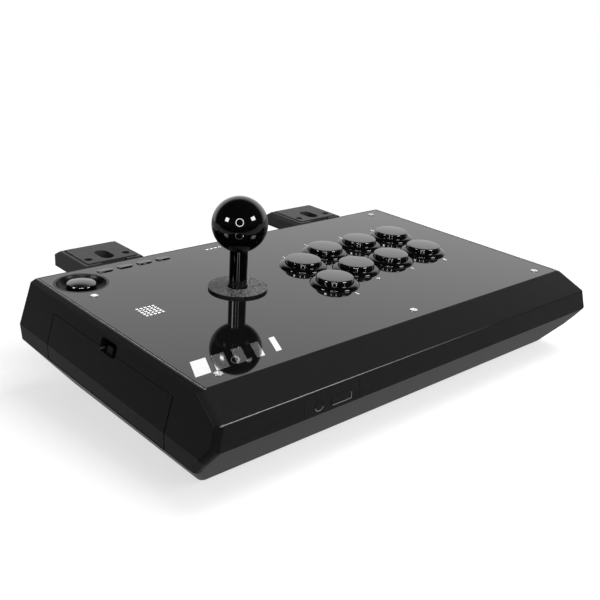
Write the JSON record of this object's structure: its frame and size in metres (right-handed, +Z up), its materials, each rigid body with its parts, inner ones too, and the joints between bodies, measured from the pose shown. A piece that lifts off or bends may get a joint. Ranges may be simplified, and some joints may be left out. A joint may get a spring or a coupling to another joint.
{
  "type": "arcade stick",
  "caption": "Black wedge-shaped arcade controller with a ball-top lever, round push buttons, option keys, a side compartment with a hinged door and two rear cleats.",
  "frame": {"origin": "bottom centre of the box around the part, on the plane of its feet", "axes": "+X to the player's right, +Y to the back, +Z up"},
  "size_m": [0.3406, 0.2536, 0.1282],
  "materials": {
    "case_plastic": "fine moulded texture",
    "panel_gloss": "polished",
    "button_gloss": "polished",
    "plate_steel": "painted",
    "screw_steel": "bright",
    "dark_screw": "black finish",
    "shaft_steel": "ground",
    "lever_plastic": "moulded",
    "bush_plastic": "moulded",
    "washer_plastic": "stippled",
    "cleat_plastic": "moulded",
    "rubber": "matt",
    "board": "lacquered board",
    "light_plastic": "clear"
  },
  "bodies": {
    "case": {"upper_shell": "case_plastic", "bottom_tray": "case_plastic", "front_port_cover": "case_plastic", "cable_compartment": "case_plastic", "panel_cover": "panel_gloss", "button_body_1": "button_gloss", "button_body_2": "button_gloss", "button_body_3": "button_gloss", "button_body_4": "button_gloss", "button_body_5": "button_gloss", "button_body_6": "button_gloss", "button_body_7": "button_gloss", "button_body_8": "button_gloss", "home_bezel": "button_gloss", "control_plate": "plate_steel", "lever_plate": "plate_steel", "panel_screws": "screw_steel", "tray_screws": "screw_steel", "lever_screws": "screw_steel", "cleat_screws": "dark_screw", "lever_housing": "lever_plastic", "lever_switches": "lever_plastic", "restrictor_gate": "lever_plastic", "button_switches": "lever_plastic", "home_switch": "lever_plastic", "option_switches": "lever_plastic", "cleat_left": "cleat_plastic", "cleat_right": "cleat_plastic", "cleat_cover_left": "cleat_plastic", "cleat_cover_right": "cleat_plastic", "rubber_feet": "rubber", "cable_inlet": "rubber", "main_board": "board", "lever_board": "board", "option_board": "board", "indicator_lights": "light_plastic"},
    "button_1": {"button_plunger_1": "button_gloss"},
    "button_2": {"button_plunger_2": "button_gloss"},
    "button_3": {"button_plunger_3": "button_gloss"},
    "button_4": {"button_plunger_4": "button_gloss"},
    "button_5": {"button_plunger_5": "button_gloss"},
    "button_6": {"button_plunger_6": "button_gloss"},
    "button_7": {"button_plunger_7": "button_gloss"},
    "button_8": {"button_plunger_8": "button_gloss"},
    "option_1": {"option_button_1": "button_gloss"},
    "option_2": {"option_button_2": "button_gloss"},
    "option_3": {"option_button_3": "button_gloss"},
    "option_4": {"option_button_4": "button_gloss"},
    "home": {"home_plunger": "button_gloss"},
    "pivot": {"pivot_bush": "bush_plastic"},
    "lever": {"lever_shaft": "shaft_steel", "shaft_cover": "button_gloss", "ball_top": "button_gloss", "actuator": "lever_plastic", "e_clip": "shaft_steel", "lever_spring": "shaft_steel"},
    "washer_carrier": {"under_washer": "washer_plastic"},
    "washer": {"dust_washer": "washer_plastic"},
    "door": {"side_door": "case_plastic"}
  },
  "joints": [
    {"name": "button_1_press", "type": "slide", "parent": "case", "child": "button_1", "axis": [0, 0.0884, -0.9961], "range_m": [0, 0.003], "stiffness_N_per_m": 200, "springref_m": -0.002},
    {"name": "button_2_press", "type": "slide", "parent": "case", "child": "button_2", "axis": [0, 0.0884, -0.9961], "range_m": [0, 0.003], "stiffness_N_per_m": 200, "springref_m": -0.002},
    {"name": "button_3_press", "type": "slide", "parent": "case", "child": "button_3", "axis": [0, 0.0884, -0.9961], "range_m": [0, 0.003], "stiffness_N_per_m": 200, "springref_m": -0.002},
    {"name": "button_4_press", "type": "slide", "parent": "case", "child": "button_4", "axis": [0, 0.0884, -0.9961], "range_m": [0, 0.003], "stiffness_N_per_m": 200, "springref_m": -0.002},
    {"name": "button_5_press", "type": "slide", "parent": "case", "child": "button_5", "axis": [0, 0.0884, -0.9961], "range_m": [0, 0.003], "stiffness_N_per_m": 200, "springref_m": -0.002},
    {"name": "button_6_press", "type": "slide", "parent": "case", "child": "button_6", "axis": [0, 0.0884, -0.9961], "range_m": [0, 0.003], "stiffness_N_per_m": 200, "springref_m": -0.002},
    {"name": "button_7_press", "type": "slide", "parent": "case", "child": "button_7", "axis": [0, 0.0884, -0.9961], "range_m": [0, 0.003], "stiffness_N_per_m": 200, "springref_m": -0.002},
    {"name": "button_8_press", "type": "slide", "parent": "case", "child": "button_8", "axis": [0, 0.0884, -0.9961], "range_m": [0, 0.003], "stiffness_N_per_m": 200, "springref_m": -0.002},
    {"name": "home_press", "type": "slide", "parent": "case", "child": "home", "axis": [0, 0.0884, -0.9961], "range_m": [0, 0.002], "stiffness_N_per_m": 250, "springref_m": -0.002},
    {"name": "option_1_press", "type": "slide", "parent": "case", "child": "option_1", "axis": [0, 0.0884, -0.9961], "range_m": [0, 0.0008], "stiffness_N_per_m": 600, "springref_m": -0.001},
    {"name": "option_2_press", "type": "slide", "parent": "case", "child": "option_2", "axis": [0, 0.0884, -0.9961], "range_m": [0, 0.0008], "stiffness_N_per_m": 600, "springref_m": -0.001},
    {"name": "option_3_press", "type": "slide", "parent": "case", "child": "option_3", "axis": [0, 0.0884, -0.9961], "range_m": [0, 0.0008], "stiffness_N_per_m": 600, "springref_m": -0.001},
    {"name": "option_4_press", "type": "slide", "parent": "case", "child": "option_4", "axis": [0, 0.0884, -0.9961], "range_m": [0, 0.0008], "stiffness_N_per_m": 600, "springref_m": -0.001},
    {"name": "lever_tilt_front_back", "type": "hinge", "parent": "case", "child": "pivot", "pos_m": [-0.06, -0.00546, 0.05026], "axis": [1, 0, 0], "range_deg": [-9, 9], "stiffness_Nm_per_rad": 0.5},
    {"name": "lever_tilt_sideways", "type": "hinge", "parent": "pivot", "child": "lever", "pos_m": [-0.06, -0.00546, 0.05026], "axis": [0, 0.9961, 0.0884], "range_deg": [-9, 9], "stiffness_Nm_per_rad": 0.5},
    {"name": "washer_slide_sideways", "type": "slide", "parent": "case", "child": "washer_carrier", "axis": [1, 0, 0], "range_m": [-0.003, 0.003]},
    {"name": "washer_slide_front_back", "type": "slide", "parent": "washer_carrier", "child": "washer", "axis": [0, 0.9961, 0.0884], "range_m": [-0.003, 0.003]},
    {"name": "door_hinge", "type": "hinge", "parent": "case", "child": "door", "pos_m": [-0.16905, -0.02045, 0.02685], "axis": [0, -0.9961, -0.0884], "range_deg": [0, 90]}
  ],
  "couplings": [
    {"joint": "washer_slide_sideways", "follows": "lever_tilt_sideways", "m_per_rad": 0.01785},
    {"joint": "washer_slide_front_back", "follows": "lever_tilt_front_back", "m_per_rad": -0.01785}
  ]
}
